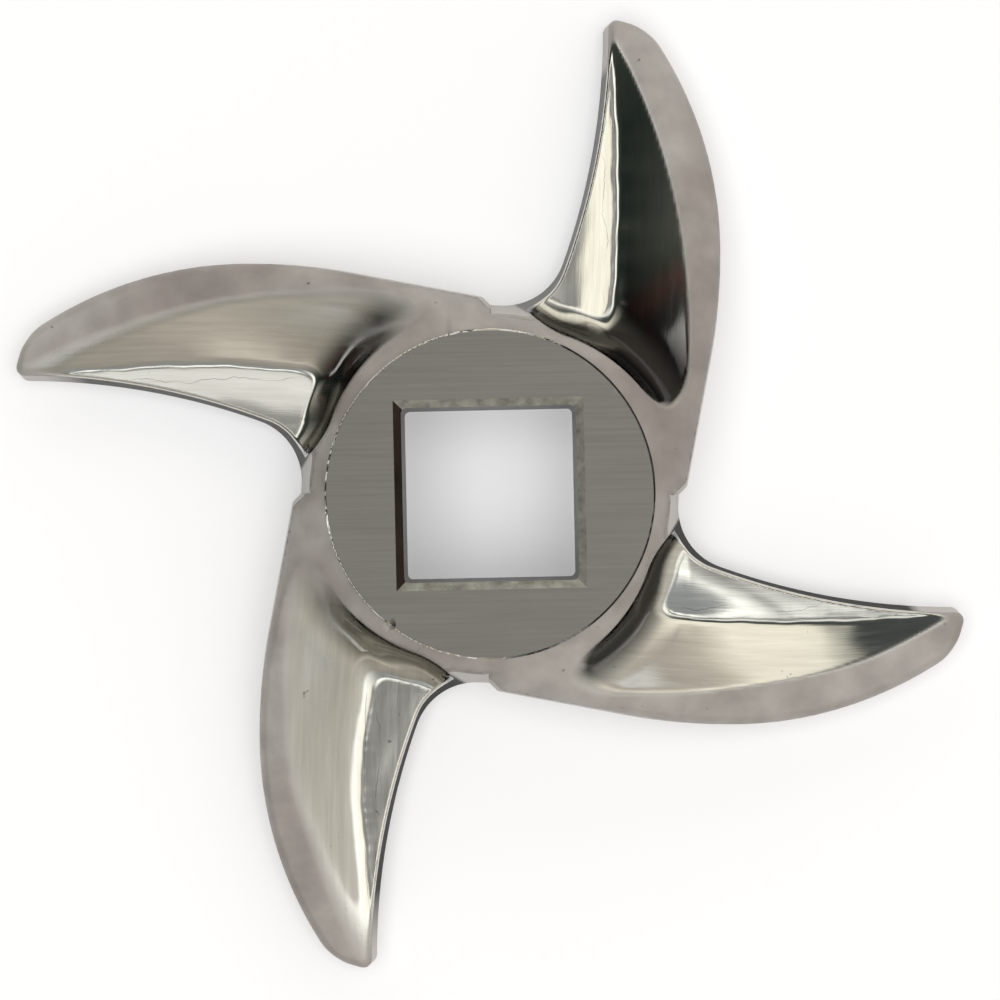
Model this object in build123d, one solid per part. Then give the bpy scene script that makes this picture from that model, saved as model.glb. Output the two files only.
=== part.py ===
from build123d import *
import math
import os

# A four-armed knife for a meat grinder, cast in one piece from stainless steel.
# Millimetres. The origin is on the axis, in the flat face that runs against the hole plate.
# +Z points at the turned hub face. One arm is drawn lying along +Y, with its hollow cutting
# side towards -X and its rounded back towards +X, and is then repeated round the axis.
# A station is a distance along the arm from the axis. Angles and drafts are in degrees.

# Whole knife
arm_count = 4
tip_diameter = 98.6
hub_height = 16.0
arm_turn = -1.2             # from the flats of the square to the first arm

# Hub
square_across = 17.0
square_corner_radius = 0.5
mouth_chamfer = 0.75
hub_face_diameter = 31.7
hub_step = 0.7              # how far the turned face stands above the cast skin
neck_diameter = 38.4        # cast hub between the arms, at the flat face
neck_draft = 7.0
recess_diameter = 29.0      # turned recess round the square, in the flat face
recess_depth = 0.6

# Back of the arm in plan, at the flat face: a straight root, then an arc up to where the back
# reaches furthest, then an arc to the tip
back_reach = 23.44
back_reach_station = 24.1
back_inner_radius = 57.0
back_root_angle = 10.6      # between the straight root and the length of the arm
heel_station = 0.8          # where the straight root ends
back_draft = 4.0

# Cutting side of the arm in plan, at the flat face: one hollow arc, and a root into the hub
edge_reach = 11.5           # where the arc comes nearest to the back
edge_reach_station = 47.0
edge_root_offset = 5.4      # where the arc meets the hub
edge_draft = 5.0
root_radius = 6.4
root_radius_top = 3.0       # the root tightens towards the hub face
tip_width = 4.86            # from the edge's reach to where the back meets the tip circle
tip_corner_share = 0.23     # radius of the tip's corners, against its width

# Crown: the cast skin on top falls in one arc from the hub to the tips
crown_middle_radius = 30.0
crown_middle_height = 9.2
crown_tip_height = 5.0
rim_round = 0.8

# Scoop: the polished hollow of each arm. Its section is given at three stations, as the
# place of the valley, its height, and the angle at which the wall leaves it
scoop_stations = (6.0, 26.0, 50.0)
valley_offsets = (11.2, 12.9, 11.4)
valley_heights = (1.5, 3.2, 5.3)
wall_angles = (60.0, 37.3, 17.0)
wall_radius = 60.0          # the wall steepens in an arc up to its crest
floor_tilt = 5.0            # the floor rises from the valley to the lip
valley_radius = 1.5
open_side = 2.2             # the scoop runs out into the gap as far as this offset
shoulder_offset = 2.2       # beside the scoop the hub is a cone, set off towards the back
shoulder_diameter = 33.8    # across the cone, at the height of the hub face
shoulder_draft = 11.0
shoulder_root_radius = 1.3

# Cutting shapes stand this far clear of what they cut
clearance = 1.0


def slope(degrees):
    """Run over rise of a draft angle."""
    return math.tan(math.radians(degrees))


def on_circle(centre, radius, degrees):
    """A point of a circle in plan."""
    angle = math.radians(degrees)
    return centre + Vector(radius * math.cos(angle), radius * math.sin(angle))


def from_axis(point):
    """The distance of a point from the axis of the knife."""
    return math.hypot(point.X, point.Y)


def at_offset(radius, offset):
    """The point at an offset across the arm, at a distance from the axis."""
    return Vector(offset, math.sqrt(radius**2 - offset**2))


def arc_radius(reach, end):
    """The radius of an arc that runs along the arm at its reach, and through an end point."""
    away = end - reach
    return away.length**2 / (2 * abs(away.X))


def arm_plan(back_inset, edge_inset):
    """The arm in plan, with its back and its cutting side set in from the flat face's."""
    flat_belly = Vector(back_reach, back_reach_station)
    tip_back = at_offset(tip_diameter / 2, edge_reach + tip_width)
    belly = flat_belly - Vector(back_inset, 0)
    outer_radius = arc_radius(flat_belly, tip_back) - back_inset
    inner_radius = back_inner_radius - back_inset
    outer_centre = belly - Vector(outer_radius, 0)
    inner_centre = belly - Vector(inner_radius, 0)
    beyond_tip = tip_diameter / 2 + clearance
    sweep = math.degrees(math.asin((beyond_tip - back_reach_station) / outer_radius))
    back_end = on_circle(outer_centre, outer_radius, sweep)
    back_middle = on_circle(outer_centre, outer_radius, sweep / 2)
    root_middle = on_circle(inner_centre, inner_radius, -back_root_angle / 2)
    root = on_circle(inner_centre, inner_radius, -back_root_angle)
    heel = Vector(root.X - (root.Y - heel_station) * slope(back_root_angle), heel_station)
    inside_hub = heel - Vector(heel.X, heel.X) / 2
    outline = Wire(
        [
            Line((0, 0), inside_hub),
            Line(inside_hub, heel),
            Line(heel, root),
            ThreePointArc(root, root_middle, belly),
            ThreePointArc(belly, back_middle, back_end),
            Line(back_end, (0, beyond_tip)),
            Line((0, beyond_tip), (0, 0)),
        ]
    )
    arm = make_face(outline) & Circle(tip_diameter / 2)
    edge_end = at_offset(neck_diameter / 2, edge_root_offset)
    edge_radius = arc_radius(Vector(edge_reach, edge_reach_station), edge_end)
    return arm - Pos(edge_reach - edge_radius, edge_reach_station) * Circle(edge_radius + edge_inset)


def star_plan(height):
    """The whole knife in plan, at a height above the flat face."""
    share = height / hub_height
    neck_radius = neck_diameter / 2 - height * slope(neck_draft)
    plan = Circle(neck_radius) + arm_plan(height * slope(back_draft), height * slope(edge_draft))
    on_neck = plan.vertices().filter_by(lambda v: from_axis(v) < neck_radius + clearance / 2)
    edge_corner = on_neck.sort_by(Axis.Y)[-1]
    plan = fillet(edge_corner, root_radius + share * (root_radius_top - root_radius))
    star = Sketch() + PolarLocations(0, arm_count, start_angle=arm_turn) * plan
    return Pos(0, 0, height) * star


def crown():
    """Everything below the cast skin, turned about the axis."""
    skin_height = hub_height - hub_step
    outside = tip_diameter / 2 + clearance
    hub_edge = (hub_face_diameter / 2, skin_height)
    middle = (crown_middle_radius, crown_middle_height)
    tip = (tip_diameter / 2, crown_tip_height)
    profile = Wire(
        [
            Line((0, -clearance), (0, skin_height)),
            Line((0, skin_height), hub_edge),
            ThreePointArc(hub_edge, middle, tip),
            Line(tip, (outside, crown_tip_height)),
            Line((outside, crown_tip_height), (outside, -clearance)),
            Line((outside, -clearance), (0, -clearance)),
        ]
    )
    return revolve(Plane.XZ * make_face(profile), Axis.Z)


def blank():
    """The casting before its scoops: drafted sides, crown, tip corners and rounded rim."""
    body = loft([star_plan(0), star_plan(hub_height)], ruled=True) & crown()
    upright = body.edges().filter_by(lambda e: abs((e @ 1 - e @ 0).Z) > crown_tip_height / 2)
    inside_tip = tip_diameter / 2 - rim_round
    tip_corners = upright.filter_by(lambda e: from_axis(e @ 0.5) > inside_tip)
    body = fillet(tip_corners, tip_corner_share * tip_width)
    flat_and_skin = body.faces().sort_by(SortBy.AREA)[-2:]
    skin = flat_and_skin.sort_by(Axis.Z)[-1]
    return fillet(skin.outer_wire().edges(), rim_round)


def wall_point(valley, start, angle):
    """A point of the wall's arc, which leaves the valley at one angle and climbs to another."""
    across = valley[0] + wall_radius * (math.sin(angle) - math.sin(start))
    up = valley[1] + wall_radius * (math.cos(start) - math.cos(angle))
    return (across, up)


def scoop_section(station, valley_offset, valley_height, wall_angle):
    """A section across the scoop: floor, valley and wall, open at the gap and at the top."""
    top = hub_height + clearance
    valley = (valley_offset, valley_height)
    lip = (open_side, valley_height + (valley_offset - open_side) * slope(floor_tilt))
    start = math.radians(wall_angle)
    end = math.acos(math.cos(start) - (top - valley_height) / wall_radius)
    wall_end = wall_point(valley, start, end)
    profile = Wire(
        [
            Line(lip, valley),
            ThreePointArc(valley, wall_point(valley, start, (start + end) / 2), wall_end),
            Line(wall_end, (open_side, top)),
            Line((open_side, top), lip),
        ]
    )
    section = Sketch() + make_face(profile)
    section = fillet(section.vertices().sort_by(Axis.Y)[0], valley_radius)
    return Plane(origin=(0, station, 0), x_dir=(1, 0, 0), z_dir=(0, -1, 0)) * section


def scoop():
    """The air in front of one arm, which ends at the hub's shoulder."""
    stations = zip(scoop_stations, valley_offsets, valley_heights, wall_angles)
    hollow = loft([scoop_section(*station) for station in stations])
    height = hub_height + 2 * clearance
    top_radius = shoulder_diameter / 2 - clearance * slope(shoulder_draft)
    bottom_radius = top_radius + height * slope(shoulder_draft)
    cone = Cone(bottom_radius, top_radius, height)
    hollow -= Pos(shoulder_offset, 0, hub_height / 2) * cone
    shoulder = hollow.faces().filter_by(GeomType.CONE)[0]
    below_top = shoulder.edges().filter_by(lambda e: (e @ 0.5).Z < hub_height)
    inner_edges = below_top.filter_by(lambda e: (e @ 0.5).X > open_side + valley_radius)
    return fillet(inner_edges, shoulder_root_radius)


def knife():
    """The finished knife: scooped arms, turned hub face, recess and broached square."""
    body = blank() - PolarLocations(0, arm_count, start_angle=arm_turn) * scoop()
    upwards = (Align.CENTER, Align.CENTER, Align.MIN)
    boss_bottom = hub_height / 2
    boss = Cylinder(hub_face_diameter / 2, hub_height - boss_bottom, align=upwards)
    body += Pos(0, 0, boss_bottom) * boss
    body -= Cylinder(recess_diameter / 2, recess_depth, align=upwards)
    square = RectangleRounded(square_across, square_across, square_corner_radius)
    body -= extrude(square, hub_height)
    hub_face = body.faces().sort_by(Axis.Z)[-1]
    return chamfer(hub_face.inner_wires()[0].edges(), mouth_chamfer)


os.makedirs("parts", exist_ok=True)
export_step(knife(), "parts/knife.step")
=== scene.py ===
import math

import bmesh
import bpy
import numpy as np
from bpy.props import FloatProperty, FloatVectorProperty, PointerProperty
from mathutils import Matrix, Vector


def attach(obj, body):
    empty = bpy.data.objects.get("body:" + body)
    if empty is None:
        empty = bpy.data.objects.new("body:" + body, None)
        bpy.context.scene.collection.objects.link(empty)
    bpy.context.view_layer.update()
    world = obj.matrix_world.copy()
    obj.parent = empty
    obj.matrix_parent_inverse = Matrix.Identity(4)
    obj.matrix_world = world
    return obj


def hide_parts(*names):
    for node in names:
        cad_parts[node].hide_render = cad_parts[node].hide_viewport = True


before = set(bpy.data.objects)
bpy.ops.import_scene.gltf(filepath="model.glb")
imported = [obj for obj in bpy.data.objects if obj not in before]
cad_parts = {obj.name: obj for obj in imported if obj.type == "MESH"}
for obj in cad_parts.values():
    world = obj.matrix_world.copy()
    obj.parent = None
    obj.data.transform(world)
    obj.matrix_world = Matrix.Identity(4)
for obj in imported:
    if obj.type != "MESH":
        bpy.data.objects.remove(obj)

bl_info = {
    "name": "Meat grinder knife",
    "version": (1, 0, 0),
    "blender": (4, 5, 0),
    "location": "View3D > Sidebar > Knife",
    "description": "Dresses a cast meat grinder knife and sets it on a studio floor",
    "category": "Object",
}

# Lengths in the shape functions are millimetres, and angles are degrees. The frame's Z runs
# from the flat cutting face to the turned hub face. Each arm has a frame of its own, with u
# across it towards its rounded back and v along it from the axis.
MM = 0.001
ARMS = 4
ARM_TURN = -1.2
TIP_RADIUS = 49.3
TIP_CORNER = 1.12
HUB_HEIGHT = 16.0
HUB_RADIUS = 15.85
HUB_STEP = 0.7
HUB_STEP_WIDTH = 0.06
GROOVE_WIDTH = 0.18
GROOVE_DEPTH = 0.12
SQUARE_HALF = 8.5
SQUARE_CORNER = 0.5
CHAMFER = 0.75
RECESS_RADIUS = 14.5
RECESS_DEPTH = 0.6
NECK_RADIUS = 19.2
NECK_DRAFT = 7.0
BACK_REACH = 23.44
BACK_REACH_STATION = 24.1
BACK_OUTER_RADIUS = 39.0
BACK_INNER_RADIUS = 57.0
BACK_ROOT_ANGLE = 10.6
HEEL_STATION = 0.8
BACK_DRAFT = 4.0
EDGE_RADIUS = 70.0
EDGE_CENTRE = (-58.5, 47.0)  # of the cutting side's arc, across and along the arm
EDGE_DRAFT = 5.0
ROOT_RADIUS = 6.4
ROOT_RADIUS_TOP = 3.0
ROOT_MARGIN = 2.5           # the root's round counts this far past its own radius
CROWN_POINTS = ((15.85, 15.3), (30.0, 9.2), (49.3, 5.0))    # distance from the axis, height
RIM_ROUND = 0.8
NECK_ROUND = 2.4            # the rim's round at the neck, which fades out along the arms
NECK_ROUND_END = 24.0
NECK_ROUND_FADE = 4.5
LIP_ROUND = 0.3
HEEL_EASE = 1.4             # how softly the rim's round passes the heels
LEAST_EASE = 0.01
STEP_RADIUS = HUB_RADIUS + HUB_STEP_WIDTH
GROOVE_RADIUS = STEP_RADIUS + GROOVE_WIDTH

# The scoop: its valley at three stations, its floor and wall, and the hub's shoulder beside it
STATIONS = (6.0, 26.0, 50.0)
VALLEY_OFFSETS = (11.2, 12.9, 11.4)
VALLEY_HEIGHTS = (3.4, 4.0, 5.3)
WALL_ANGLES = (50.0, 34.5, 16.0)
WALL_ANGLE_RANGE = (8, 60)
WALL_RADIUS = 110.0
FLOOR_CURVE = 0.032         # how fast the floor's rise fades towards the lip
FLOOR_EASE = 0.8
FLOOR_TURN = 20.0           # from here the floor goes over to its tilt at the tip
FLOOR_TURN_LENGTH = 10.0
SHOULDER_OFFSET = 2.2       # the shoulder is a cone, set off towards the arm's back
SHOULDER_RADIUS = 16.1
SHOULDER_DRAFT = 4.5
SHOULDER_ROOT = 3.0
SHOULDER_END = 7.5          # nearer the gap than this the shoulder swings out
SHOULDER_END_WIDTH = 4.5
SHOULDER_END_SWING = 2.2
SHOULDER_END_LIMIT = 1.6
SHOULDER_BLEND = 0.8
CORNER_ROUND = 5.0          # between wall and shoulder
SCOOP_START = 4.0
SCOOP_ACROSS = 26.0
NO_CUT = 30.0               # stands for a height or a distance where nothing is cut

# Hand polishing left each arm a little different
FLOOR_AT_ROOT = (0.20, 0.18, 0.10, 0.20)
FLOOR_AT_TIP = (0.20, 0.16, 0.08, 0.03)
CREASE_ROUND = (0.12, 0.7, 1.0, 0.15)
CREASE_ROUND_AT_ROOT = (0.6, 4.0, 4.0, 1.8)
CREASE_WIDENS_FROM = 33.0
CREASE_WIDENS_OVER = 14.0
WALL_EASE = (0.0, 0.0, 0.0, 3.2)
WALL_EASE_STATION = 38.0
WALL_EASE_LENGTH = 7.0
VALLEY_RADIUS = (1.6, 1.6, 4.5, 0.8)
VALLEY_BOW = (0.0, 0.3, 0.9, 0.0)
VALLEY_BOW_STATION = 28.0
VALLEY_BOW_LENGTH = 8.0

# Waves along the valley, as height, pace and shift from arm to arm, and ripples on the whole
# scoop, as height, pace along, pace across and shift
VALLEY_WAVES = ((0.05, 0.93, 1.9), (0.025, 2.1, 2.7))
VALLEY_WAVES_FADE = 1.3
RIPPLES = ((0.005, 0.55, 1.1, 1.3), (0.002, 1.1, -2.1, 1.0))
QUICK_RIPPLE = 0.003
QUICK_PACE = 4.7
QUICK_WANDER = 2.3
QUICK_WANDER_PACE = 0.7
QUICK_SWELL_PACE = 0.9
QUICK_REACH = 1.1

# Painted shade and dark reflection at the shoulder, and how much further it reaches up the wall of
# each arm
PAINTED_SHADE_AT_SHOULDER = 3.2
PAINTED_SHADE_REACH = (8.5, 2.0, 0.5, 0.5)
PAINTED_SHADE_WALL = 11.0
PAINTED_SHADE_WALL_FADE = 3.0
PAINTED_SHADE_GAIN = 1.6
PAINTED_SHADE_FLOOR = 0.3
PAINTED_SHADE_FLOOR_FADE = 0.5

# How gradually the finish changes at the crease: a least width, and a share of its round
POLISH_EDGE = 0.04
POLISH_EDGE_SHARE = 0.6

# A small bowl that a burr left beside the turned face
BOWL_CENTRE = (-9.95, -12.5)
BOWL_RADIUS = 0.5
BOWL_DEPTH = 0.35

# The mesh: how near a cut a vertex is taken as on it, cuts along rounded edges as shares of
# their radius, and the edges that steep walls are split down to
CUT_SLACK = 0.008
RIM_CUTS = (1.1, 1.0, 0.5, 0.13)
LIP_CUTS = (1.2, 1.0, 0.5, 0.13)
LONGEST_EDGES = (2.4, 1.2, 0.8)
CREASE_LIMIT = 2.0          # steps higher than this count as this high for the crease's cut
MITRE_MIDDLE = 17.4         # the chamfer's corners, as x and y together
MITRE_REACH = 1.3
GRID_MARGIN = 0.7
HOLE_MARGIN = 0.2
RECESS_SEGMENTS = 180
SHARP_ANGLE = 41
SCOOP_HALVINGS = 20
SIDE_HALVINGS = 14

# Places in the knife's list of materials
ARM, TURNED, CHAMFERED, DARK_CHAMFER, BROACHED, GROUND, SIDE, GROOVE = range(8)

# Looks
CAST_METAL = 0.25           # how far the matte cast skin reflects like metal
CRACKS_FROM = 18.4          # the fine cracks begin at this station, and fade in
CRACKS_OVER = 2.0
SATIN_FROM = -1.5           # the wall's satin, by the distance from the valley
SATIN_OVER = -2.5
SATIN = 0.22
PAPER_GLOW = 0.22
NOISE_APART = 7.3           # keeps the noise of one arm from another's

# Camera and lamp, in metres, millimetres of lens and sensor, and degrees
CAMERA_LENS = 117.07
CAMERA_SENSOR = 36
CAMERA_SHIFT_X = 0.010
CAMERA_SHIFT_Y = -0.006
CAMERA_TURN = -1.2
LAMP_SIZE = 0.8
LAMP_PLACE = (-0.06, -0.08, 0.85)


def slope(degrees):
    """Run over rise of a draft angle."""
    return math.tan(math.radians(degrees))


def arm_frame(x, y, arm):
    """The place across and along one arm of points in plan."""
    turn = math.radians(ARM_TURN + 360 / ARMS * arm)
    return x * math.cos(turn) + y * math.sin(turn), y * math.cos(turn) - x * math.sin(turn)


def bell(value, middle, width):
    """One at the middle, and fading to nothing on both sides."""
    return np.exp(-(((value - middle) / width) ** 2))


def found_by_halving(distance, like, top, steps):
    """The height up to which a distance stays negative, at each place of an array."""
    low, high = np.zeros_like(like), np.full_like(like, top)
    for _ in range(steps):
        height = (low + high) / 2
        inside = distance(height) < 0
        low = np.where(inside, height, low)
        high = np.where(inside, high, height)
    return high


def rounded_corner(first, second, radius):
    """The distance from an outer corner of two sides, rounded off."""
    near = (first > -radius) & (second > -radius)
    off_round = np.hypot(first + radius, second + radius) - radius
    return np.where(near, off_round, np.maximum(first, second))


def rounded_root(first, second, radius):
    """The distance from an inner corner of two surfaces, filled with a round."""
    reach = np.hypot(np.maximum(radius - first, 0), np.maximum(radius - second, 0))
    return np.maximum(radius, np.minimum(first, second)) - reach


def back_distance(u, v, inset):
    """The distance outside the back of an arm in plan."""
    outer_centre = BACK_REACH - BACK_OUTER_RADIUS
    outer = np.hypot(u - outer_centre, v - BACK_REACH_STATION) - BACK_OUTER_RADIUS
    inner_centre = BACK_REACH - BACK_INNER_RADIUS
    inner = np.hypot(u - inner_centre, v - BACK_REACH_STATION) - BACK_INNER_RADIUS
    angle = math.radians(BACK_ROOT_ANGLE)
    root_u = inner_centre + BACK_INNER_RADIUS * math.cos(angle)
    root_v = BACK_REACH_STATION - BACK_INNER_RADIUS * math.sin(angle)
    straight = (u - root_u) * math.cos(angle) - (v - root_v) * math.sin(angle)
    past_root = (v - BACK_REACH_STATION) < -math.tan(angle) * (u - inner_centre)
    distance = np.where(v > BACK_REACH_STATION, outer, np.where(past_root, straight, inner))
    heel_u = root_u - (root_v - HEEL_STATION) * math.tan(angle)
    heel = ((u - v) - (heel_u - HEEL_STATION)) / math.sqrt(2)
    return np.maximum(distance, heel) + inset


def root_distance(u, v, height):
    """The distance outside the round that joins the cutting side to the hub."""
    neck = NECK_RADIUS - height * slope(NECK_DRAFT)
    edge = EDGE_RADIUS + height * slope(EDGE_DRAFT)
    radius = ROOT_RADIUS + height / HUB_HEIGHT * (ROOT_RADIUS_TOP - ROOT_RADIUS)
    far_u, far_v = EDGE_CENTRE
    gap = math.hypot(far_u, far_v)
    along = ((neck + radius) ** 2 - (edge - radius) ** 2 + gap**2) / (2 * gap)
    across = np.sqrt(np.maximum((neck + radius) ** 2 - along**2, 0))
    centre_u = (far_u * along + far_v * across) / gap
    centre_v = (far_v * along - far_u * across) / gap
    to_hub_u = -centre_u / (neck + radius)
    to_hub_v = -centre_v / (neck + radius)
    to_edge_u = (centre_u - far_u) / (edge - radius)
    to_edge_v = (centre_v - far_v) / (edge - radius)
    du, dv = u - centre_u, v - centre_v
    area = to_hub_u * to_edge_v - to_hub_v * to_edge_u
    towards_hub = (du * to_edge_v - dv * to_edge_u) / area > 0
    towards_edge = (to_hub_u * dv - to_hub_v * du) / area > 0
    reach = np.hypot(du, dv)
    in_round = towards_hub & towards_edge & (reach < radius + ROOT_MARGIN)
    return np.where(in_round, radius - reach, NO_CUT)


def soft_lower(first, second, reach):
    """The lower of two values, eased where they meet."""
    overlap = np.maximum(reach - np.abs(first - second), 0)
    return np.minimum(first, second) - overlap**2 / (4 * reach)


def outline(x, y, height, ease=LEAST_EASE):
    """The distance outside the knife in plan at a height, negative inside."""
    from_axis = np.hypot(x, y)
    tip = from_axis - TIP_RADIUS
    distance = from_axis - (NECK_RADIUS - height * slope(NECK_DRAFT))
    for arm in range(ARMS):
        u, v = arm_frame(x, y, arm)
        back = back_distance(u, v, height * slope(BACK_DRAFT))
        from_centre = np.hypot(u - EDGE_CENTRE[0], v - EDGE_CENTRE[1])
        hollow = EDGE_RADIUS + height * slope(EDGE_DRAFT) - from_centre
        back_corner = rounded_corner(tip, back, TIP_CORNER)
        edge_corner = rounded_corner(tip, hollow, TIP_CORNER)
        body = np.maximum(back_corner, edge_corner)
        distance = soft_lower(distance, np.maximum(body, -v), ease)
        distance = np.minimum(distance, root_distance(u, v, height))
    return distance


def circle_through(points):
    """Centre and radius of the circle through three points."""
    (ax, ay), (bx, by), (cx, cy) = points
    twice = 2 * (ax * (by - cy) + bx * (cy - ay) + cx * (ay - by))
    a, b, c = ax * ax + ay * ay, bx * bx + by * by, cx * cx + cy * cy
    x = (a * (by - cy) + b * (cy - ay) + c * (ay - by)) / twice
    y = (a * (cx - bx) + b * (ax - cx) + c * (bx - ax)) / twice
    return x, y, math.hypot(ax - x, ay - y)


def crown(x, y):
    """Height of the cast skin before its rim is rounded."""
    middle, rise, radius = circle_through(CROWN_POINTS)
    from_axis = np.clip(np.hypot(x, y), CROWN_POINTS[0][0], None)
    return rise - np.sqrt(radius**2 - (from_axis - middle) ** 2)


def round_drop(inside, radius):
    """How far a rounded edge lies below its face, at a distance inside the side wall."""
    short = np.clip(radius - inside, 0, radius)
    return radius - np.sqrt(radius**2 - short**2)


def near_neck(x, y):
    """One at the neck between two arms, and nothing out along the arms."""
    share = np.clip((NECK_ROUND_END - np.hypot(x, y)) / NECK_ROUND_FADE, 0, 1)
    return share * share * (3 - 2 * share)


def skin(x, y):
    """Height of the cast skin, with its rim rounded and the groove beside the hub face."""
    height = crown(x, y)
    rim = RIM_ROUND + near_neck(x, y) * (NECK_ROUND - RIM_ROUND)
    height = height - round_drop(-outline(x, y, height, HEEL_EASE), rim)
    inside = np.clip(1 - (np.hypot(x, y) - STEP_RADIUS) / GROOVE_WIDTH, 0, 1)
    return height - GROOVE_DEPTH * inside


def along_arm(v, values):
    """A value that is given at three stations, at any station between."""
    (a, b, c), (p, q, r) = STATIONS, values
    return (
        p * (v - b) * (v - c) / ((a - b) * (a - c))
        + q * (v - a) * (v - c) / ((b - a) * (b - c))
        + r * (v - a) * (v - b) / ((c - a) * (c - b))
    )


def valley_line(u, v, arm):
    """Offset of the valley, with the polisher's waves, which fade up the wall."""
    bow = VALLEY_BOW[arm] * bell(v, VALLEY_BOW_STATION, VALLEY_BOW_LENGTH)
    line = along_arm(v, VALLEY_OFFSETS) + bow
    waves = sum(height * np.sin(v * pace + shift * arm) for height, pace, shift in VALLEY_WAVES)
    return line + waves * np.exp(-np.clip(u - line, 0, None) / VALLEY_WAVES_FADE)


def floor_rise(away, v, arm):
    """How far the scoop's floor has risen at a distance from the valley towards the lip."""
    share = np.clip((v - FLOOR_TURN) / FLOOR_TURN_LENGTH, 0, 1)
    steep = FLOOR_AT_ROOT[arm] + share * (FLOOR_AT_TIP[arm] - FLOOR_AT_ROOT[arm])
    out = np.clip(away, 0, steep / FLOOR_CURVE)
    eased = out - FLOOR_EASE * (1 - np.exp(-out / FLOOR_EASE))
    return steep * eased - FLOOR_CURVE / 2 * out**2


def scoop_clearance(u, v, z, arm):
    """How far a place is clear of the scoop's floor, its wall and the hub's shoulder."""
    valley = valley_line(u, v, arm)
    low = along_arm(v, VALLEY_HEIGHTS)
    eased = WALL_EASE[arm] * bell(v, WALL_EASE_STATION, WALL_EASE_LENGTH)
    angle = np.radians(np.clip(along_arm(v, WALL_ANGLES) - eased, *WALL_ANGLE_RANGE))
    above_floor = z - low - floor_rise(valley - u, v, arm)
    centre_u = valley - WALL_RADIUS * np.sin(angle)
    centre_z = low + WALL_RADIUS * np.cos(angle)
    off_wall = WALL_RADIUS - np.hypot(u - centre_u, z - centre_z)
    past_end = np.clip((SHOULDER_END - u) / SHOULDER_END_WIDTH, 0, SHOULDER_END_LIMIT)
    swing = SHOULDER_END_SWING * past_end**2
    cone = SHOULDER_RADIUS + swing + (HUB_HEIGHT - z) * slope(SHOULDER_DRAFT)
    beside = (np.hypot(u - SHOULDER_OFFSET, v) - cone) * math.cos(math.radians(SHOULDER_DRAFT))
    valley_round = VALLEY_RADIUS[arm] * np.tan(angle / 2) * np.sin(angle)
    nearer_hub = 1 / (1 + np.exp(-(off_wall - beside) / SHOULDER_BLEND))
    round_below = valley_round + nearer_hub * (SHOULDER_ROOT - valley_round)
    return rounded_root(above_floor, rounded_root(off_wall, beside, CORNER_ROUND), round_below)


def ripples(u, v, arm):
    """The small waves that hand polishing leaves, strongest near the valley."""
    slow = sum(
        height * np.sin(pace_along * v + pace_across * u + shift * arm)
        for height, pace_along, pace_across, shift in RIPPLES
    )
    near = bell(u, along_arm(v, VALLEY_OFFSETS), QUICK_REACH)
    wander = QUICK_WANDER * np.sin(QUICK_WANDER_PACE * v + arm)
    quick = QUICK_RIPPLE * np.sin(QUICK_PACE * v + wander) * np.sin(QUICK_SWELL_PACE * v + 2 * arm)
    return slow + near * quick


def scoop_height(u, v, arm):
    """Height of one arm's scoop with the hub's shoulder beside it."""

    def clearance(height):
        return scoop_clearance(u, v, height, arm)

    return found_by_halving(clearance, u, HUB_HEIGHT + 1, SCOOP_HALVINGS) + ripples(u, v, arm)


def arms_at(x, y):
    """The arm that each place belongs to, and its place across and along that arm."""
    across, along, number = np.zeros_like(x), np.zeros_like(x), np.zeros(x.shape, int)
    for arm in range(ARMS):
        u, v = arm_frame(x, y, arm)
        here = (u >= 0) & (v >= 0)
        across[here], along[here], number[here] = u[here], v[here], arm
    return across, along, number


def scoops(x, y):
    """Height of the scoops, and far above the knife where there is none."""
    height = np.full_like(x, NO_CUT)
    for arm in range(ARMS):
        u, v = arm_frame(x, y, arm)
        here = (u > 0) & (u < SCOOP_ACROSS) & (v > SCOOP_START) & (v < TIP_RADIUS + 1)
        height[here] = np.minimum(height[here], scoop_height(u[here], v[here], arm))
    return height


def square_distance(x, y):
    """The distance outside the square hole."""
    flat = SQUARE_HALF - SQUARE_CORNER
    past_x = np.maximum(np.abs(x) - flat, 0)
    past_y = np.maximum(np.abs(y) - flat, 0)
    return np.hypot(past_x, past_y) - SQUARE_CORNER


def mitre_distance(x, y):
    """The distance outside the square hole, measured square to its nearest side."""
    return np.maximum(np.abs(x), np.abs(y)) - SQUARE_HALF


def mitre_line(x, y, turn):
    """Zero along one diagonal of the square, near its corners only."""
    near_corner = np.abs(np.abs(x) + np.abs(y) - MITRE_MIDDLE) < MITRE_REACH
    return np.where(near_corner, x - turn * y, 1.0)


def crease_round(x, y):
    """How widely the edge between cast skin and scoop is rounded, which differs between arms."""
    number = arms_at(x, y)[2]
    along = np.array(CREASE_ROUND)[number]
    at_root = np.array(CREASE_ROUND_AT_ROOT)[number]
    share = np.clip((CREASE_WIDENS_FROM - np.hypot(x, y)) / CREASE_WIDENS_OVER, 0, 1)
    return along + share * share * (at_root - along)


def arm_height(x, y):
    """Height of the arms: cast skin, scoops and the edge between them."""
    hollow = scoops(x, y)
    lip = round_drop(-outline(x, y, np.minimum(hollow, HUB_HEIGHT)), LIP_ROUND)
    hollow = hollow - np.where(hollow < NO_CUT, lip, 0)
    cast = skin(x, y)
    return soft_lower(cast, hollow, crease_round(x, y))


def side_height(x, y):
    """Height at which the drafted side passes through each place in plan."""

    def distance(height):
        return outline(x, y, height)

    return found_by_halving(distance, x, HUB_HEIGHT, SIDE_HALVINGS)


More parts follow.
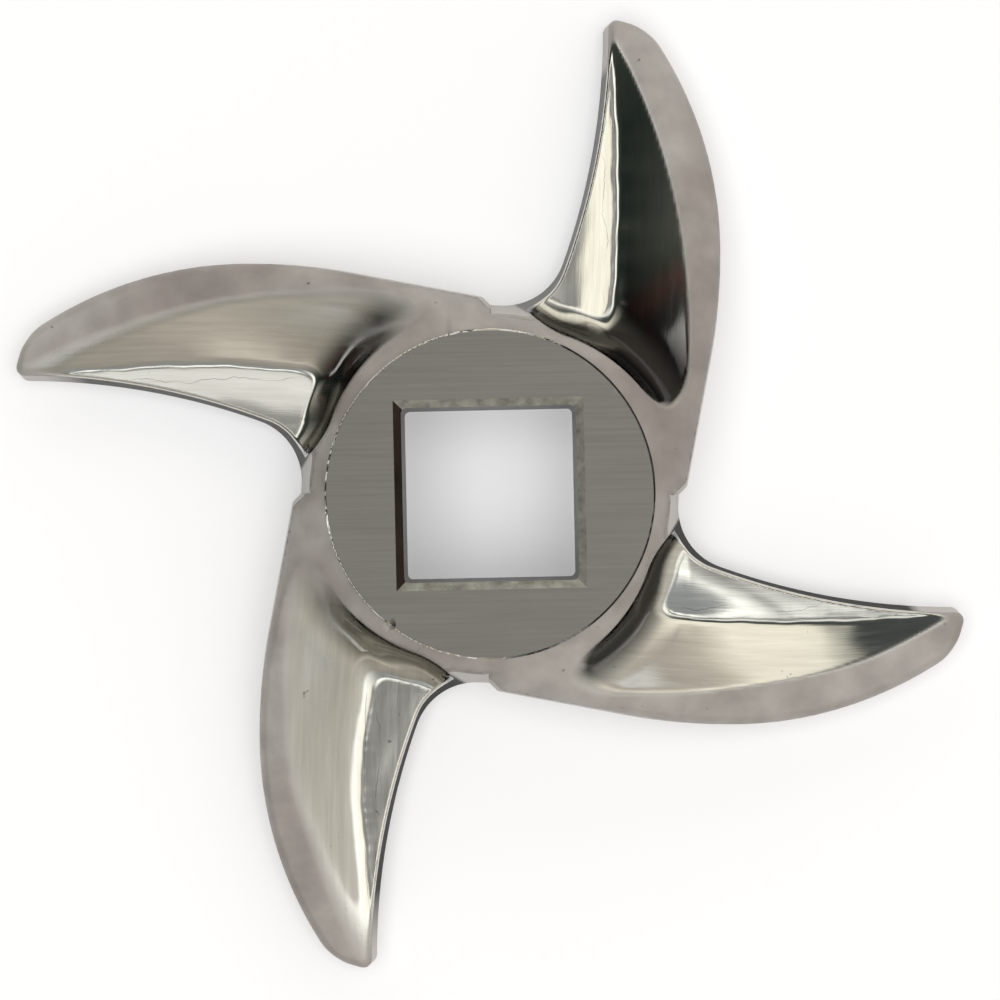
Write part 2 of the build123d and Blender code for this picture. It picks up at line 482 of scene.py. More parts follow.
def top_height(x, y):
    """Height of the whole upper side, with the drafted sides down to the flat face."""
    from_axis = np.hypot(x, y)
    step = np.clip((from_axis - HUB_RADIUS) / HUB_STEP_WIDTH, 0, None) * (HUB_STEP + GROOVE_DEPTH)
    surface = np.maximum(arm_height(x, y), HUB_HEIGHT - step)
    surface = np.where(from_axis < HUB_RADIUS, HUB_HEIGHT, surface)
    surface = np.minimum(surface, HUB_HEIGHT - CHAMFER + mitre_distance(x, y))
    from_bowl = np.hypot(x - BOWL_CENTRE[0], y - BOWL_CENTRE[1]) / BOWL_RADIUS
    surface = surface - BOWL_DEPTH * np.clip(1 - from_bowl**2, 0, 1)
    return np.minimum(surface, side_height(x, y))


def plan_of(bm):
    """The plan coordinates of a mesh's vertices."""
    places = np.array([vert.co.xy for vert in bm.verts])
    return places[:, 0], places[:, 1]


def lift(bm, height):
    """Gives every vertex the height that a function has at its place in plan."""
    for vert, value in zip(bm.verts, height(*plan_of(bm))):
        vert.co.z = value


def cut(bm, level, keep_below=False, keep_above=False):
    """Cuts a mesh along the line in plan where a function is zero."""
    lift(bm, level)
    bmesh.ops.bisect_plane(
        bm,
        geom=bm.verts[:] + bm.edges[:] + bm.faces[:],
        dist=CUT_SLACK,
        plane_co=(0, 0, 0),
        plane_no=(0, 0, 1),
        clear_outer=keep_below,
        clear_inner=keep_above,
    )


def lip_line(x, y):
    """The distance outside the knife at the height of its arms, with their edges sharp."""
    return outline(x, y, np.minimum(crown(x, y), scoops(x, y)))


def cut_plan(bm):
    """Cuts the plan grid to the knife's outline and along its creases."""
    cut(bm, lambda x, y: np.hypot(x, y) - TIP_RADIUS, keep_below=True)
    cut(bm, lambda x, y: outline(x, y, np.zeros_like(x)), keep_below=True)
    cut(bm, square_distance, keep_above=True)
    cut(bm, lambda x, y: mitre_distance(x, y) - CHAMFER)
    for turn in (1, -1):
        cut(bm, lambda x, y, turn=turn: mitre_line(x, y, turn))
    for radius in (HUB_RADIUS, STEP_RADIUS, GROOVE_RADIUS):
        cut(bm, lambda x, y, radius=radius: np.hypot(x, y) - radius)
    for share in RIM_CUTS:
        cut(bm, lambda x, y, inset=RIM_ROUND * share: outline(x, y, crown(x, y)) + inset)
    for share in LIP_CUTS:
        cut(bm, lambda x, y, inset=LIP_ROUND * share: lip_line(x, y) + inset)
    cut(bm, lambda x, y: outline(x, y, arm_height(x, y)))
    cut(bm, lambda x, y: np.clip(scoops(x, y) - skin(x, y), -CREASE_LIMIT, CREASE_LIMIT))


def split_steep(bm, longest):
    """Splits the edges that a steep wall would stretch."""
    lift(bm, top_height)
    stretched = [edge for edge in bm.edges if edge.calc_length() > longest]
    bmesh.ops.subdivide_edges(bm, edges=stretched, cuts=1, use_grid_fill=True)


def split_many_sided(bm):
    """Turns the faces with more than four corners into triangles."""
    bmesh.ops.triangulate(bm, faces=[face for face in bm.faces if len(face.verts) > 4])


def zone_of(x, y):
    """The material of each place on the upper side, by its place in the list of materials."""
    zone = np.where(outline(x, y, arm_height(x, y)) > 0, SIDE, ARM)
    from_axis = np.hypot(x, y)
    zone = np.where(from_axis < GROOVE_RADIUS, GROOVE, zone)
    zone = np.where(from_axis < STEP_RADIUS, TURNED, zone)
    chamfer = np.where((x < 0) & (np.abs(y) < np.abs(x)), DARK_CHAMFER, CHAMFERED)
    return np.where(mitre_distance(x, y) < CHAMFER, chamfer, zone)


def extrude_loop(bm, edges, height):
    """Extrudes a loop of edges once, up or down to a height, and returns the new loop."""
    made = bmesh.ops.extrude_edge_only(bm, edges=edges)["geom"]
    for item in made:
        if isinstance(item, bmesh.types.BMVert):
            item.co.z = height
    return [item for item in made if isinstance(item, bmesh.types.BMEdge) and item.is_boundary]


def fill_flat(bm, edges):
    """Fills the area between loops of edges with triangles that face down."""
    bmesh.ops.triangle_fill(
        bm, use_beauty=True, use_dissolve=False, edges=edges, normal=(0, 0, -1)
    )


def in_hole(edge):
    """Whether an edge of the border lies round the square hole."""
    start = edge.verts[0].co
    return max(abs(start.x), abs(start.y)) < SQUARE_HALF + HOLE_MARGIN


def upper_side(step):
    """The upper side with the drafted sides, from a grid in plan that is cut and raised."""
    bm = bmesh.new()
    count = int(2 * (TIP_RADIUS + GRID_MARGIN) / step)
    bmesh.ops.create_grid(bm, x_segments=count, y_segments=count, size=count * step / 2)
    cut_plan(bm)
    for longest in LONGEST_EDGES:
        split_steep(bm, longest)
    lift(bm, top_height)
    split_many_sided(bm)
    bm.normal_update()
    centres = np.array([face.calc_center_median().xy for face in bm.faces])
    for face, zone in zip(bm.faces, zone_of(centres[:, 0], centres[:, 1])):
        face.material_index = int(zone)
    return bm


def close_below(bm):
    """Adds the walls of the hole, the recess and the flat face."""
    border = [edge for edge in bm.edges if edge.is_boundary]
    inner = [edge for edge in border if in_hole(edge)]
    outer = [edge for edge in border if not in_hole(edge)]
    for vert in {vert for edge in outer for vert in edge.verts}:
        vert.co.z = 0
    above = set(bm.faces)
    inner = extrude_loop(bm, inner, RECESS_DEPTH)
    for face in bm.faces:
        if face not in above:
            face.material_index = BROACHED
    above = set(bm.faces)
    ring = bmesh.ops.create_circle(bm, radius=RECESS_RADIUS, segments=RECESS_SEGMENTS)["verts"]
    ring_edges = list(dict.fromkeys(edge for vert in ring for edge in vert.link_edges))
    raised = extrude_loop(bm, ring_edges, RECESS_DEPTH)
    fill_flat(bm, outer + ring_edges)
    fill_flat(bm, inner + raised)
    for face in bm.faces:
        if face not in above:
            face.material_index = GROUND


def build_knife(step):
    """The knife as one closed mesh."""
    bm = upper_side(step)
    close_below(bm)
    split_many_sided(bm)
    bmesh.ops.recalc_face_normals(bm, faces=bm.faces[:])
    bmesh.ops.scale(bm, vec=(MM, MM, MM), verts=bm.verts[:])
    return bm


def mesh_object(name, bm):
    """A new object at the origin with the mesh of bm."""
    mesh = bpy.data.meshes.new(name)
    bm.to_mesh(mesh)
    bm.free()
    mesh.polygons.foreach_set("use_smooth", [True] * len(mesh.polygons))
    mesh.set_sharp_from_angle(angle=math.radians(SHARP_ANGLE))
    made = bpy.data.objects.new(name, mesh)
    bpy.context.scene.collection.objects.link(made)
    return made


def mark_finish(mesh):
    """Writes how polished each vertex is, and where it lies on its arm, for the materials."""
    places = np.zeros(len(mesh.vertices) * 3)
    mesh.vertices.foreach_get("co", places)
    x, y, z = places.reshape(-1, 3).T / MM
    across, along, number = arms_at(x, y)
    hollow = scoops(x, y)
    cast = skin(x, y)
    width = POLISH_EDGE + POLISH_EDGE_SHARE * crease_round(x, y)
    polish = np.clip((cast - hollow) / width * 0.5 + 0.5, 0, 1)
    from_valley = along_arm(along, VALLEY_OFFSETS) - across
    cone = SHOULDER_RADIUS + (HUB_HEIGHT - z) * slope(SHOULDER_DRAFT)
    from_shoulder = np.hypot(across - SHOULDER_OFFSET, along) - cone
    above_floor = z - along_arm(along, VALLEY_HEIGHTS)
    for arm in range(ARMS):
        here = number == arm
        above_floor[here] -= floor_rise(from_valley[here], along[here], arm)
    # Painted shade and dark reflection: strongest by the shoulder, further up the wall on some arms,
    # none on the floor
    up_the_wall = np.clip((across - PAINTED_SHADE_WALL) / PAINTED_SHADE_WALL_FADE, 0, 1)
    reach = PAINTED_SHADE_AT_SHOULDER + np.array(PAINTED_SHADE_REACH)[number] * up_the_wall
    painted_shade = np.clip(PAINTED_SHADE_GAIN - PAINTED_SHADE_GAIN * from_shoulder / reach, 0, 1)
    painted_shade = painted_shade * np.clip((above_floor - PAINTED_SHADE_FLOOR) / PAINTED_SHADE_FLOOR_FADE, 0, 1)
    for name, values in (
        ("polish", polish),
        ("from_valley", from_valley),
        ("along", along),
        ("arm", number),
        ("painted_shade", painted_shade * polish),
    ):
        layer = mesh.attributes.new(name, "FLOAT", "POINT")
        layer.data.foreach_set("value", values.astype(np.float32))


def shader(name):
    """A new material, its node tree and its main shader."""
    material = bpy.data.materials.new(name)
    material.use_nodes = True
    tree = material.node_tree
    return material, tree, tree.nodes["Principled BSDF"]


def set_inputs(tree, node, values):
    """Links sockets to a node's inputs, and writes plain values into them."""
    for name, value in values.items():
        if isinstance(value, bpy.types.NodeSocket):
            tree.links.new(value, node.inputs[name])
        else:
            node.inputs[name].default_value = value


def noise_at(tree, place, scale, detail, roughness):
    """A noise at a place."""
    node = tree.nodes.new("ShaderNodeTexNoise")
    set_inputs(tree, node, {"Scale": scale, "Detail": detail, "Roughness": roughness, "Vector": place})
    return node.outputs["Fac"]


def noise(tree, scale, detail, stretch=(1, 1, 1), turn=0.0, roughness=0.5):
    """A noise on object coordinates, stretched and turned about Z."""
    place = tree.nodes.new("ShaderNodeTexCoord").outputs["Object"]
    mapping = tree.nodes.new("ShaderNodeMapping")
    rotation = (0, 0, math.radians(turn))
    set_inputs(tree, mapping, {"Scale": stretch, "Rotation": rotation, "Vector": place})
    return noise_at(tree, mapping.outputs["Vector"], scale, detail, roughness)


def ramp(tree, value, stops):
    """A colour for each value, between stops."""
    node = tree.nodes.new("ShaderNodeValToRGB")
    points = node.color_ramp.elements
    for index, (place, colour) in enumerate(stops):
        point = points[index] if index < 2 else points.new(place)
        point.position = place
        point.color = (*colour, 1)
    tree.links.new(value, node.inputs["Fac"])
    return node.outputs["Color"]


def bump(tree, value, distance, strength, under=None):
    """A bump from a value, over another bump."""
    node = tree.nodes.new("ShaderNodeBump")
    set_inputs(tree, node, {"Distance": distance, "Strength": strength, "Height": value})
    if under is not None:
        set_inputs(tree, node, {"Normal": under})
    return node.outputs["Normal"]


def grey(level):
    """A grey as a colour."""
    return (level, level, level)


def value_of(tree, name):
    """A number that the mesh carries at each vertex."""
    node = tree.nodes.new("ShaderNodeAttribute")
    node.attribute_name = name
    return node.outputs["Fac"]


def sums(tree, operation, first, second=None, third=None):
    """One step of arithmetic on sockets or numbers."""
    node = tree.nodes.new("ShaderNodeMath")
    node.operation = operation
    for socket, value in zip(node.inputs, (first, second, third)):
        if isinstance(value, (int, float)):
            socket.default_value = value
        elif value is not None:
            tree.links.new(value, socket)
    return node.outputs["Value"]


def fade_in(tree, value, start, over):
    """Nothing up to a start, and one from some way past it."""
    share = sums(tree, "MULTIPLY_ADD", value, 1 / over, -start / over)
    return sums(tree, "MINIMUM", sums(tree, "MAXIMUM", share, 0.0), 1.0)


def vectors(tree, operation, first, second=None, scale=None):
    """One step of arithmetic on vectors or colours."""
    node = tree.nodes.new("ShaderNodeVectorMath")
    node.operation = operation
    tree.links.new(first, node.inputs[0])
    if isinstance(second, tuple):
        node.inputs[1].default_value = second
    elif second is not None:
        tree.links.new(second, node.inputs[1])
    if scale is not None:
        tree.links.new(scale, node.inputs["Scale"])
    return node.outputs["Vector"]


def parts_of(tree, vector):
    """The X, Y and Z of a vector."""
    node = tree.nodes.new("ShaderNodeSeparateXYZ")
    tree.links.new(vector, node.inputs["Vector"])
    return node.outputs


def blend(tree, share, first, second):
    """A mix of two colours, by a share of the second."""
    node = tree.nodes.new("ShaderNodeMix")
    node.data_type = "RGBA"
    tree.links.new(share, node.inputs["Factor"])
    for socket, value in ((node.inputs["A"], first), (node.inputs["B"], second)):
        if isinstance(value, tuple):
            socket.default_value = (*value, 1)
        else:
            tree.links.new(value, socket)
    return node.outputs["Result"]


def mixed_shader(tree, share, first, second):
    """A mix of two shaders, by a share of the second."""
    node = tree.nodes.new("ShaderNodeMixShader")
    for socket, value in zip(node.inputs, (share, first, second)):
        tree.links.new(value, socket)
    return node.outputs["Shader"]


def arm_noise(tree, across, along, detail, roughness=0.5):
    """A noise that runs along the arms, with one scale across them and one along."""
    place = tree.nodes.new("ShaderNodeCombineXYZ")
    scales = (("X", "from_valley", across), ("Y", "along", along), ("Z", "arm", NOISE_APART))
    for axis, name, scale in scales:
        tree.links.new(sums(tree, "MULTIPLY", value_of(tree, name), scale), place.inputs[axis])
    return noise_at(tree, place.outputs["Vector"], 1.0, detail, roughness)


def wavy_line(tree, offset, swing, half_width):
    """A fine line along the valley, one in its middle, that wanders to both sides."""
    wander = arm_noise(tree, across=0.0, along=0.22, detail=4)
    middle = sums(tree, "MULTIPLY_ADD", wander, swing, offset - swing / 2)
    away = sums(tree, "ABSOLUTE", sums(tree, "SUBTRACT", value_of(tree, "from_valley"), middle))
    line = sums(tree, "SUBTRACT", 1.0, sums(tree, "DIVIDE", away, half_width))
    return sums(tree, "MAXIMUM", line, 0.0)


def by_arm(tree, levels):
    """A level for each of the four arms."""
    share = sums(tree, "DIVIDE", value_of(tree, "arm"), float(ARMS - 1))
    return ramp(tree, share, [(arm / (ARMS - 1), grey(level)) for arm, level in enumerate(levels)])


def cast_colour(tree):
    """The matte cast skin: mottled oxide with pits and patches."""
    spots = noise(tree, scale=260, detail=4)
    mottle = ramp(tree, spots, [(0.3, (0.30, 0.28, 0.265)), (0.7, (0.41, 0.385, 0.365))])
    dots = noise(tree, scale=1400, detail=2)
    pits = ramp(tree, dots, [(0.20, (0.45, 0.40, 0.38)), (0.27, (1, 1, 1))])
    clouds = noise(tree, scale=70, detail=3)
    patches = ramp(tree, clouds, [(0.35, (0.74, 0.70, 0.69)), (0.6, (1, 1, 1))])
    return vectors(tree, "MULTIPLY", vectors(tree, "MULTIPLY", mottle, pits), patches)


def polished_colour(tree):
    """The polished scoops: streaks, specks, fine cracks along the valley, painted shade at the
    shoulders.
    """
    streaks = arm_noise(tree, across=2.2, along=0.12, detail=4, roughness=0.6)
    bright = ramp(tree, streaks, [(0.3, (0.60, 0.59, 0.55)), (0.7, (0.70, 0.69, 0.65))])
    dots = noise(tree, scale=900, detail=2)
    specks = ramp(tree, dots, [(0.20, (0.45, 0.44, 0.42)), (0.27, (1, 1, 1))])
    polished = vectors(tree, "MULTIPLY", bright, specks)
    crack = wavy_line(tree, offset=1.4, swing=2.6, half_width=0.05)
    fold = wavy_line(tree, offset=0.25, swing=0.5, half_width=0.06)
    lines = sums(tree, "MINIMUM", sums(tree, "ADD", crack, fold), 1.0)
    breaks = arm_noise(tree, across=0.2, along=0.25, detail=2)
    patchy = ramp(tree, breaks, [(0.45, grey(0.0)), (0.6, grey(0.75))])
    past_root = fade_in(tree, value_of(tree, "along"), CRACKS_FROM, CRACKS_OVER)
    lines = sums(tree, "MULTIPLY", sums(tree, "MULTIPLY", lines, patchy), past_root)
    cracked = blend(tree, lines, polished, (0.09, 0.10, 0.12))
    # Painted shade and dark reflection by the shoulder, stronger on some arms than on others
    darkest = by_arm(tree, (0.95, 0.45, 0.55, 0.93))
    painted_dark = sums(tree, "MULTIPLY", value_of(tree, "painted_shade"), darkest)
    return blend(tree, painted_dark, cracked, (0.022, 0.021, 0.020))


def polished_roughness(tree):
    """How rough the scoops are: glossy streaks, and a satin wall on some arms."""
    streaks = arm_noise(tree, across=1.6, along=0.2, detail=4)
    gloss = ramp(tree, streaks, [(0.35, grey(0.06)), (0.7, grey(0.13))])
    wall = fade_in(tree, value_of(tree, "from_valley"), SATIN_FROM, SATIN_OVER)
    satin = sums(tree, "MULTIPLY", wall, SATIN)
    satin = sums(tree, "MULTIPLY", satin, by_arm(tree, (0.0, 1.0, 1.0, 0.3)))
    return sums(tree, "ADD", gloss, satin)


def arm_steel():
    """Stainless of the arms and hub: matte cast skin, and polished where the scoops are."""
    material, tree, main = shader("arm_steel")
    polish = value_of(tree, "polish")
    matte = sums(tree, "SUBTRACT", 1.0, polish)
    dull = ramp(tree, noise(tree, scale=500, detail=3), [(0.3, grey(0.46)), (0.7, grey(0.58))])
    grains = sums(tree, "ADD", noise(tree, scale=5000, detail=2), noise(tree, scale=900, detail=4))
    grainy = bump(tree, sums(tree, "MULTIPLY", grains, matte), 0.00003, 0.6)
    strokes = arm_noise(tree, across=5.0, along=0.25, detail=4, roughness=0.6)
    brushed = bump(tree, sums(tree, "MULTIPLY", strokes, polish), 0.000005, 0.5, grainy)
    looks = {
        "Base Color": blend(tree, polish, cast_colour(tree), polished_colour(tree)),
        "Roughness": blend(tree, polish, dull, polished_roughness(tree)),
        "Metallic": sums(tree, "MULTIPLY_ADD", polish, 1 - CAST_METAL, CAST_METAL),
        "Normal": brushed,
    }
    set_inputs(tree, main, looks)
    return material


def turned_face():
    """The hub face, with fine marks in one direction."""
    material, tree, main = shader("turned_face")
    marks = noise(tree, scale=60, detail=5, stretch=(1, 60, 1), roughness=0.65)
    tone = ramp(tree, marks, [(0.3, (0.245, 0.235, 0.215)), (0.7, (0.30, 0.29, 0.27))])
    clouds = noise(tree, scale=90, detail=3, stretch=(1, 4, 1))
    shade = ramp(tree, clouds, [(0.3, grey(0.93)), (0.7, grey(1.0))])
    looks = {
        "Base Color": vectors(tree, "MULTIPLY", tone, shade),
        "Metallic": 1.0,
        "Roughness": ramp(tree, marks, [(0.3, grey(0.30)), (0.7, grey(0.42))]),
        "Normal": bump(tree, marks, 0.00001, 0.4),
    }
    set_inputs(tree, main, looks)
    return material


def lip_side():
    """The drafted sides, with painted shade below the arms' lips, darker on some arms than others."""
    material, tree, main = shader("drafted_side")
    polish = value_of(tree, "polish")
    # Painted shade: the side below each lip is coloured dark, more on some arms than on others
    painted_dark = by_arm(tree, (0.22, 0.10, 0.015, 0.015))
    looks = {
        "Base Color": blend(tree, polish, (0.50, 0.47, 0.45), painted_dark),
        "Metallic": sums(tree, "MULTIPLY_ADD", polish, -0.5, 0.5),
        "Specular IOR Level": sums(tree, "MULTIPLY_ADD", polish, -0.45, 0.5),
        "Roughness": 0.5,
        "Normal": bump(tree, noise(tree, scale=2000, detail=3), 0.00003, 0.6),
    }
    set_inputs(tree, main, looks)
    return material


def chamfer_face():
    """The grainy chamfer round the square."""
    material, tree, main = shader("chamfer_face")
    grain = noise(tree, scale=700, detail=5, roughness=0.65)
    looks = {
        "Base Color": ramp(tree, grain, [(0.3, (0.22, 0.21, 0.185)), (0.65, (0.47, 0.46, 0.415))]),
        "Metallic": 0.5,
        "Roughness": 0.5,
        "Normal": bump(tree, grain, 0.00006, 0.7),
    }
    set_inputs(tree, main, looks)
    return material


def hub_groove():
    """The turning tool's groove round the hub face: painted highlight at the left, painted shade at
    the right.
    """
    material, tree, main = shader("hub_groove")
    place = parts_of(tree, tree.nodes.new("ShaderNodeTexCoord").outputs["Object"])
    # Painted light: bright towards negative X, dark towards positive X, with noise breaking it into
    # glints
    to_right = sums(tree, "MULTIPLY_ADD", place["X"], 24.0, 0.2)
    clouds = sums(tree, "MULTIPLY", noise(tree, scale=220, detail=2), 0.6)
    tone = sums(tree, "ADD", to_right, clouds)
    painted_light = ramp(tree, tone, [(0.5, (0.72, 0.70, 0.66)), (0.72, (0.03, 0.03, 0.03))])
    set_inputs(tree, main, {"Base Color": painted_light, "Metallic": 1.0, "Roughness": 0.14})
    return material


def dark_chamfer():
    """The side of the mouth towards negative X, coloured as a smooth dark face."""
    material, tree, main = shader("dark_chamfer")
    clouds = noise(tree, scale=300, detail=3, stretch=(3, 1, 1))
    tone = ramp(tree, clouds, [(0.3, (0.045, 0.035, 0.03)), (0.7, (0.09, 0.06, 0.05))])
    set_inputs(tree, main, {"Base Color": tone, "Metallic": 1.0, "Roughness": 0.35})
    return material


def broached_wall():
    """The walls of the square hole, coloured near black as painted shade and dark reflection."""
    material, tree, main = shader("broached_wall")
    marks = noise(tree, scale=80, detail=4, stretch=(12, 12, 1))
    looks = {
        "Base Color": ramp(tree, marks, [(0.3, (0.05, 0.045, 0.04)), (0.7, (0.10, 0.095, 0.085))]),
        "Metallic": 0.2,
        "Specular IOR Level": 0.15,
        "Roughness": 0.4,
        "Normal": bump(tree, marks, 0.00004, 0.5),
    }
    set_inputs(tree, main, looks)
    return material


def ground_face():
    """The flat cutting face, ground in one direction."""
    material, tree, main = shader("ground_face")
    marks = noise(tree, scale=70, detail=5, stretch=(1, 50, 1), turn=20, roughness=0.6)
    looks = {
        "Base Color": ramp(tree, marks, [(0.3, (0.52, 0.51, 0.49)), (0.7, (0.64, 0.63, 0.61))]),
        "Metallic": 1.0,
        "Roughness": ramp(tree, marks, [(0.3, grey(0.22)), (0.7, grey(0.34))]),
        "Normal": bump(tree, marks, 0.00002, 0.5),
    }
    set_inputs(tree, main, looks)
    return material


# The studio round the knife: what lies to each side, by degrees from overhead, down to and
# past the horizon. Colours are shares of the brightest light.
SKY_LIMIT = 2.0
SKY_REACH = 120.0
OVERHEAD = (0.17, 0.17, 0.165)
SKY_RIGHT = (
    (0, OVERHEAD),
    (9, (0.17, 0.17, 0.17)),
    (10.5, (0.20, 0.20, 0.19)),
    (12.3, (0.72, 0.70, 0.60)),
    (26, (0.82, 0.81, 0.79)),
    (31, (0.82, 0.81, 0.79)),
    (37, (0.40, 0.385, 0.355)),
    (70, (0.33, 0.315, 0.285)),
    (90, (0.27, 0.26, 0.24)),
)
SKY_LEFT = (
    (0, OVERHEAD),
    (8, (0.17, 0.165, 0.165)),
    (16, (0.20, 0.19, 0.19)),
    (20, (0.85, 0.85, 0.80)),
    (27, (0.80, 0.80, 0.76)),
    (32, (0.03, 0.035, 0.03)),
    (50, (0.010, 0.014, 0.012)),
    (78, (0.008, 0.012, 0.010)),
    (82, (0.035, 0.012, 0.010)),
    (86, (0.010, 0.010, 0.010)),
)
SKY_UP = (
    (0, OVERHEAD),
    (5, (0.26, 0.26, 0.25)),
    (8, (0.52, 0.52, 0.50)),
    (20, (0.58, 0.58, 0.56)),
    (24, (0.06, 0.065, 0.065)),
    (45, (0.03, 0.035, 0.035)),
    (54, (0.62, 0.60, 0.52)),
    (72, (0.66, 0.63, 0.55)),
    (79, (0.34, 0.31, 0.27)),
    (95, (0.22, 0.205, 0.18)),
)
SKY_DOWN = (
    (0, OVERHEAD),
    (2.5, (0.70, 0.71, 0.69)),
    (8.5, (0.92, 0.93, 0.89)),
    (11, (0.21, 0.22, 0.225)),
    (20, (0.18, 0.19, 0.20)),
    (30, (0.20, 0.19, 0.17)),
    (60, (0.26, 0.24, 0.21)),
    (70, (0.42, 0.39, 0.34)),
    (78, (0.28, 0.26, 0.225)),
    (88, (0.17, 0.155, 0.125)),
)


def studio():
    """Light from all round, which differs overhead, near the horizon and on each side."""
    world = bpy.data.worlds.new("studio")
    world.use_nodes = True
    tree = world.node_tree
    direction = tree.nodes.new("ShaderNodeTexCoord").outputs["Generated"]
    tilt = sums(tree, "ARCCOSINE", parts_of(tree, direction)["Z"])
    share = sums(tree, "MULTIPLY", tilt, math.degrees(1) / SKY_REACH)
    flat = vectors(tree, "MULTIPLY", direction, (1, 1, 0))
    level = parts_of(tree, vectors(tree, "NORMALIZE", flat))
    total = None
    skies = (("X", 1, SKY_RIGHT), ("X", -1, SKY_LEFT), ("Y", 1, SKY_UP), ("Y", -1, SKY_DOWN))
    for axis, sign, stops in skies:
        towards = sums(tree, "MAXIMUM", sums(tree, "MULTIPLY", level[axis], sign), 0.0)
        sky = ramp(tree, share, [(angle / SKY_REACH, colour) for angle, colour in stops])
        part = vectors(tree, "SCALE", sky, scale=sums(tree, "MULTIPLY", towards, towards))
        total = part if total is None else vectors(tree, "ADD", total, part)
    light = tree.nodes["Background"]
    set_inputs(tree, light, {"Color": total, "Strength": SKY_LIMIT})
    backdrop = tree.nodes.new("ShaderNodeBackground")
    set_inputs(tree, backdrop, {"Color": (1, 1, 1, 1), "Strength": 1.0})
    from_camera = tree.nodes.new("ShaderNodeLightPath").outputs["Is Camera Ray"]
    lit, shown = light.outputs["Background"], backdrop.outputs["Background"]
    mix = mixed_shader(tree, from_camera, lit, shown)
    tree.links.new(mix, tree.nodes["World Output"].inputs["Surface"])
    return world


def paper(colour):
    """Pale paper that reads near white and keeps soft shadows."""
    material, tree, main = shader("floor_paper")
    set_inputs(tree, main, {"Base Color": (*colour, 1), "Roughness": 0.9})
    white = tree.nodes.new("ShaderNodeEmission")
    set_inputs(tree, white, {"Color": (0.97, 0.97, 0.985, 1)})
    ray = tree.nodes.new("ShaderNodeLightPath").outputs
    shown = sums(tree, "MAXIMUM", ray["Is Camera Ray"], ray["Is Glossy Ray"])
    shown = sums(tree, "MAXIMUM", shown, ray["Is Transmission Ray"])
    glow = sums(tree, "MULTIPLY", shown, PAPER_GLOW)
    mix = mixed_shader(tree, glow, main.outputs["BSDF"], white.outputs["Emission"])
    tree.links.new(mix, tree.nodes["Material Output"].inputs["Surface"])
    return material


# The knife's materials, in the order that the faces' numbers follow
MATERIALS = (
    arm_steel,
    turned_face,
    chamfer_face,
    dark_chamfer,
    broached_wall,
    ground_face,
    lip_side,
    hub_groove,
)


class KnifeSettings(bpy.types.PropertyGroup):
    """Sizes and colours of the dressed knife and its stage."""

    grid_step: FloatProperty(
        name="Grid step",
        description="Spacing of the mesh in plan, in millimetres",
        default=0.25,
        min=0.1,
        max=1.0,
    )
    floor_colour: FloatVectorProperty(
        name="Floor colour",
        description="Colour of the studio floor",
        subtype="COLOR",
        size=3,
        default=(0.9, 0.9, 0.92),
        min=0,
        max=1,
    )
    floor_size: FloatProperty(
        name="Floor size",
        description="Side of the studio floor",
        default=4.0,
        unit="LENGTH",
    )
    lamp_power: FloatProperty(
        name="Lamp power",
        description="Power of the soft lamp over the floor",
        default=4.8,
        min=0,
        unit="POWER",
    )
    camera_height: FloatProperty(
        name="Camera height",
        description="Camera's height over the flat face",
        default=0.331,
        unit="LENGTH",
    )


class KNIFE_OT_body(bpy.types.Operator):
    """Make the cast knife with its scoops, hub face and square"""

    bl_idname = "knife.body"
    bl_label = "Cast knife"

    def execute(self, context):
        settings = context.scene.knife_settings
        knife = mesh_object("cast_knife", build_knife(settings.grid_step))
        mark_finish(knife.data)
        for make in MATERIALS:
            knife.data.materials.append(make())
        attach(knife, "root")
        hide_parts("knife")
        return {"FINISHED"}


def camera_over(height):
    """A camera that looks straight down from a height."""
    camera = bpy.data.objects.new("camera", bpy.data.cameras.new("camera"))
    camera.data.lens = CAMERA_LENS
    camera.data.sensor_width = CAMERA_SENSOR
    camera.data.shift_x = CAMERA_SHIFT_X
    camera.data.shift_y = CAMERA_SHIFT_Y
    camera.location = (0, 0, height)
    camera.rotation_euler = (0, 0, math.radians(CAMERA_TURN))
    return camera


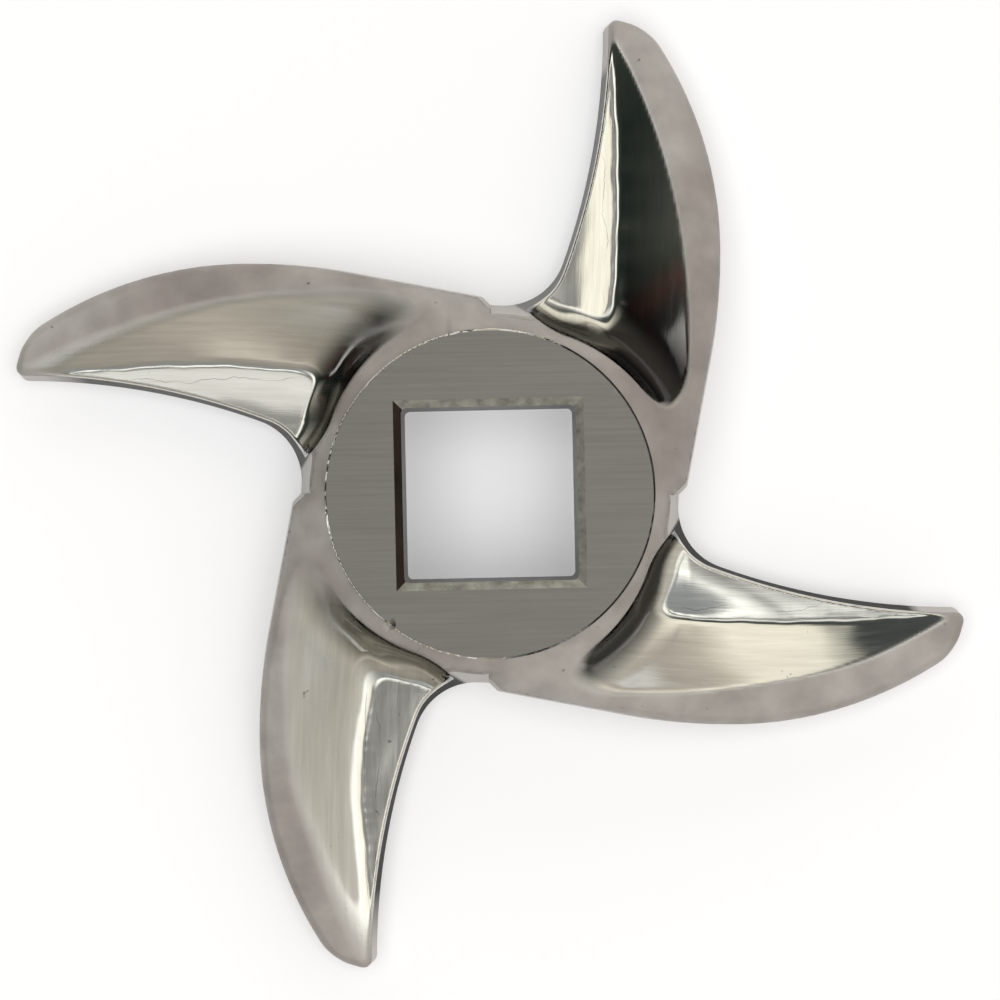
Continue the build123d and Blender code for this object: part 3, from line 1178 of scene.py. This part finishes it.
def soft_lamp(power):
    """A round lamp beside the camera, aimed at the knife and unseen in its steel."""
    lamp = bpy.data.lights.new("soft_lamp", "AREA")
    lamp.shape = "DISK"
    lamp.size = LAMP_SIZE
    lamp.energy = power
    held = bpy.data.objects.new("soft_lamp", lamp)
    held.location = LAMP_PLACE
    held.rotation_euler = Vector(held.location).to_track_quat("Z", "Y").to_euler()
    held.visible_glossy = False
    return held


class KNIFE_OT_stage(bpy.types.Operator):
    """Make the floor, the camera and the light"""

    bl_idname = "knife.stage"
    bl_label = "Stage"

    def execute(self, context):
        settings = context.scene.knife_settings
        bm = bmesh.new()
        bmesh.ops.create_grid(bm, x_segments=1, y_segments=1, size=settings.floor_size / 2)
        floor = mesh_object("floor", bm)
        floor.data.materials.append(paper(settings.floor_colour))
        camera = camera_over(settings.camera_height)
        context.scene.collection.objects.link(camera)
        context.scene.camera = camera
        context.scene.world = studio()
        context.scene.collection.objects.link(soft_lamp(settings.lamp_power))
        context.scene.view_settings.view_transform = "Standard"
        return {"FINISHED"}


class KNIFE_PT_panel(bpy.types.Panel):
    """The knife's operators and settings"""

    bl_label = "Meat grinder knife"
    bl_idname = "KNIFE_PT_panel"
    bl_space_type = "VIEW_3D"
    bl_region_type = "UI"
    bl_category = "Knife"

    def draw(self, context):
        settings = context.scene.knife_settings
        for name in settings.bl_rna.properties.keys():
            if name not in ("rna_type", "name"):
                self.layout.prop(settings, name)
        self.layout.operator(KNIFE_OT_body.bl_idname)
        self.layout.operator(KNIFE_OT_stage.bl_idname)


CLASSES = (KnifeSettings, KNIFE_OT_body, KNIFE_OT_stage, KNIFE_PT_panel)


def register():
    for item in CLASSES:
        bpy.utils.register_class(item)
    bpy.types.Scene.knife_settings = PointerProperty(type=KnifeSettings)


def unregister():
    del bpy.types.Scene.knife_settings
    for item in reversed(CLASSES):
        bpy.utils.unregister_class(item)


def main():
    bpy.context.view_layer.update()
    register()
    bpy.ops.knife.stage()
    bpy.ops.knife.body()
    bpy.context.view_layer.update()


if __name__ == "__main__":
    main()
